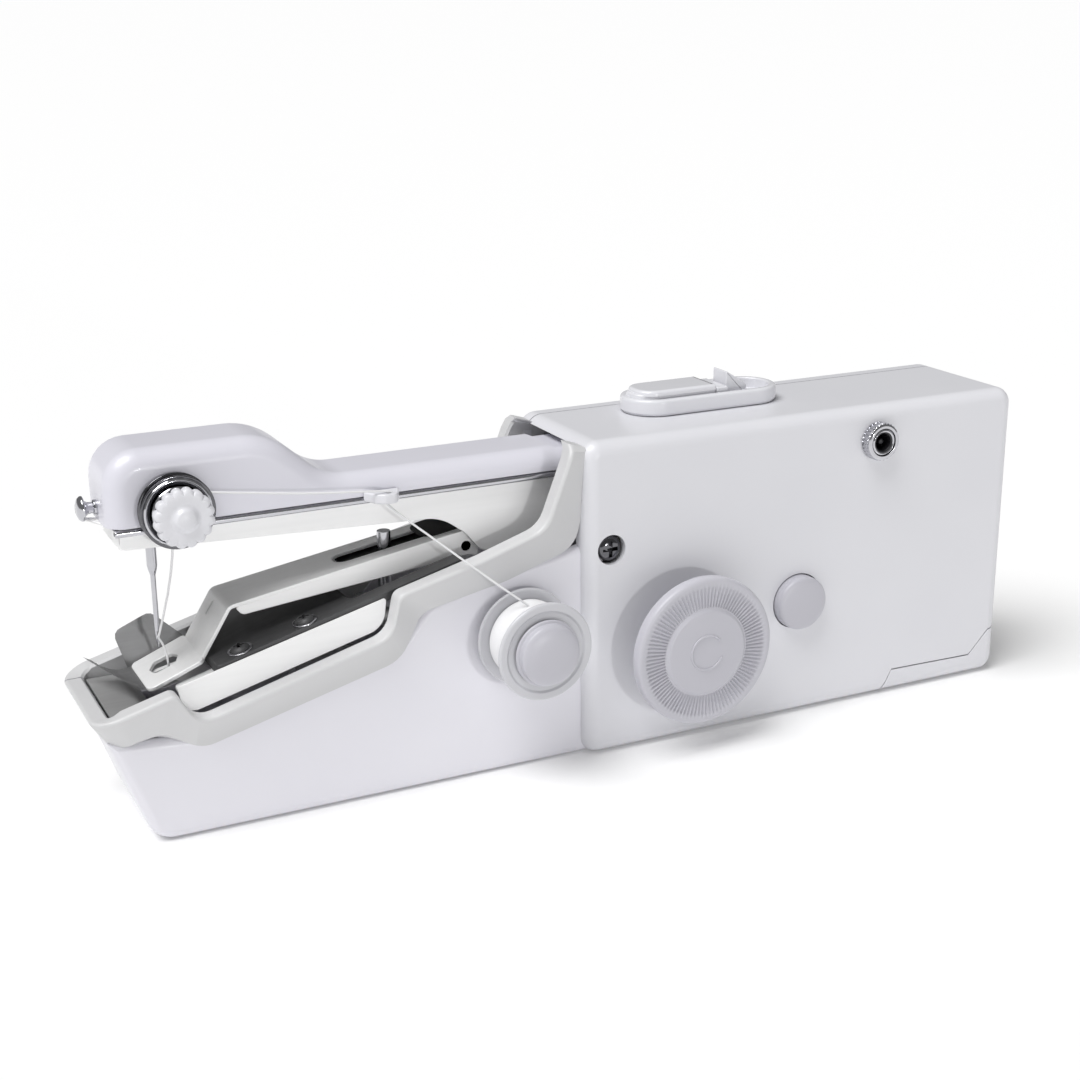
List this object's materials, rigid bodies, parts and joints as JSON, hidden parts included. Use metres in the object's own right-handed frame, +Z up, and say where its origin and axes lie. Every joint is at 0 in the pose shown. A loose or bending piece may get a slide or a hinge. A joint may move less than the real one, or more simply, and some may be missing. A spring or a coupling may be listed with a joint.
{
  "type": "hand-held sewing machine",
  "caption": "Hand-held battery sewing machine: white case, rocking needle arm, spring presser lever, hand wheel, side bobbin and thread tension knob.",
  "frame": {"origin": "centre of the flat base, in the middle of the case thickness", "axes": "+X from the needle end to the battery end, -Y towards the hand wheel side, +Z up from the base"},
  "size_m": [0.21, 0.0459, 0.0754],
  "materials": {
    "white_shell": "white moulded shell with a soft sheen",
    "grey_shell": "pale grey moulded plastic",
    "clear_plastic": "frosted clear plastic",
    "gear_plastic": "ivory gear plastic",
    "black_plastic": "black moulded plastic",
    "bright_steel": "bright sheet steel",
    "polished_steel": "polished plated steel",
    "black_steel": "dark finished sheet steel",
    "brass": "turned brass",
    "thread": "white sewing thread",
    "cell_wrap": "wrapped battery cell"
  },
  "bodies": {
    "housing": {"front_casing": "white_shell", "back_cover": "white_shell", "contact_strip_low": "bright_steel", "contact_strip_high": "bright_steel", "battery_1": "cell_wrap", "battery_2": "cell_wrap", "battery_3": "cell_wrap", "battery_4": "cell_wrap", "shaft_bush": "brass", "idler_shaft": "polished_steel", "motor_can": "bright_steel", "motor_end_cap": "black_plastic", "arm_pivot_pin": "polished_steel", "needle_plate": "black_steel", "plate_screw_1": "black_steel", "plate_screw_2": "black_steel", "looper_tray": "bright_steel", "nose_plate": "bright_steel", "lever_bracket": "bright_steel", "guide_post": "polished_steel", "presser_spring": "polished_steel", "looper_bracket": "bright_steel", "bobbin_spindle": "polished_steel", "switch_base": "white_shell", "switch_contacts": "black_plastic", "dc_jack": "black_plastic", "jack_nut": "polished_steel", "casing_screw": "polished_steel", "button_spring": "polished_steel"},
    "battery_door": {"battery_door": "white_shell"},
    "main_drive": {"main_gear": "gear_plastic", "main_shaft": "polished_steel", "hand_wheel": "grey_shell"},
    "idler": {"idler_gear": "gear_plastic"},
    "motor_rotor": {"motor_pinion": "brass"},
    "upper_arm": {"arm_frame": "bright_steel", "arm_cover": "white_shell", "needle": "polished_steel", "needle_clamp": "bright_steel", "tension_stud": "polished_steel", "tension_disc_inner": "polished_steel", "tension_disc_outer": "polished_steel", "tension_spring": "polished_steel", "thread_guide": "white_shell", "rod_pin": "polished_steel", "needle_thread": "thread", "lead_thread": "thread"},
    "rod": {"connecting_rod": "bright_steel"},
    "looper": {"looper_bar": "bright_steel"},
    "presser": {"presser_lever": "bright_steel", "lever_pin": "polished_steel"},
    "knob": {"tension_knob": "white_shell"},
    "clamp_screw": {"needle_clamp_screw": "polished_steel"},
    "bobbin": {"bobbin": "clear_plastic", "bobbin_thread": "thread"},
    "bobbin_cap": {"bobbin_cap": "grey_shell"},
    "power_button": {"power_button": "white_shell"},
    "switch_lock": {"switch_lock": "white_shell"},
    "side_button": {"side_button": "grey_shell"}
  },
  "joints": [
    {"name": "door_slide", "type": "slide", "parent": "housing", "child": "battery_door", "axis": [1, 0, 0], "range_m": [0, 0.012]},
    {"name": "main_turn", "type": "hinge", "parent": "housing", "child": "main_drive", "pos_m": [0.02, -0.0166, 0.023], "axis": [0, 1, 0], "continuous": true},
    {"name": "idler_turn", "type": "hinge", "parent": "housing", "child": "idler", "pos_m": [0.03286, -0.008, 0.03832], "axis": [0, 1, 0], "continuous": true},
    {"name": "motor_turn", "type": "hinge", "parent": "housing", "child": "motor_rotor", "pos_m": [0.046, 0, 0.03832], "axis": [1, 0, 0], "continuous": true},
    {"name": "arm_rock", "type": "hinge", "parent": "housing", "child": "upper_arm", "pos_m": [0.044, 0, 0.057], "axis": [0, -1, 0], "range_deg": [0, 6.5], "deforming": ["lead_thread", "needle_thread"]},
    {"name": "rod_swing", "type": "hinge", "parent": "upper_arm", "child": "rod", "pos_m": [0.008, -0.0026, 0.054], "axis": [0, -1, 0], "range_deg": [-4.9, 0.2]},
    {"name": "looper_slide", "type": "slide", "parent": "housing", "child": "looper", "axis": [1, 0, 0], "range_m": [0, 0.0081]},
    {"name": "presser_lift", "type": "hinge", "parent": "housing", "child": "presser", "pos_m": [-0.0252, 0, 0.0472], "axis": [0, 1, 0], "range_deg": [0, 3.5], "stiffness_Nm_per_rad": 0.6, "springref_deg": -17.19},
    {"name": "knob_turn", "type": "hinge", "parent": "upper_arm", "child": "knob", "pos_m": [-0.0844, -0.015, 0.064], "axis": [0, -1, 0], "range_deg": [-180, 180]},
    {"name": "clamp_screw_turn", "type": "hinge", "parent": "upper_arm", "child": "clamp_screw", "pos_m": [-0.099, 0, 0.0637], "axis": [1, 0, 0], "range_deg": [-180, 180]},
    {"name": "bobbin_turn", "type": "hinge", "parent": "housing", "child": "bobbin", "pos_m": [-0.0169, -0.02, 0.0295], "axis": [0, 1, 0], "continuous": true},
    {"name": "bobbin_cap_slide", "type": "slide", "parent": "housing", "child": "bobbin_cap", "axis": [0, -1, 0], "range_m": [0, 0.006]},
    {"name": "power_press", "type": "slide", "parent": "housing", "child": "power_button", "axis": [0, 0, -1], "range_m": [0, 0.001], "stiffness_N_per_m": 800, "springref_m": -0.0005},
    {"name": "lock_slide", "type": "slide", "parent": "housing", "child": "switch_lock", "axis": [1, 0, 0], "range_m": [0, 0.005]},
    {"name": "side_press", "type": "slide", "parent": "housing", "child": "side_button", "axis": [0, 1, 0], "range_m": [0, 0.0012], "stiffness_N_per_m": 600, "springref_m": -0.0005}
  ],
  "couplings": [
    {"joint": "idler_turn", "follows": "main_turn", "ratio": -4},
    {"joint": "motor_turn", "follows": "main_turn", "ratio": -18},
    {"joint": "rod_swing", "follows": "arm_rock", "ratio": -0.7246},
    {"joint": "looper_slide", "follows": "arm_rock", "m_per_rad": 0.0705}
  ]
}
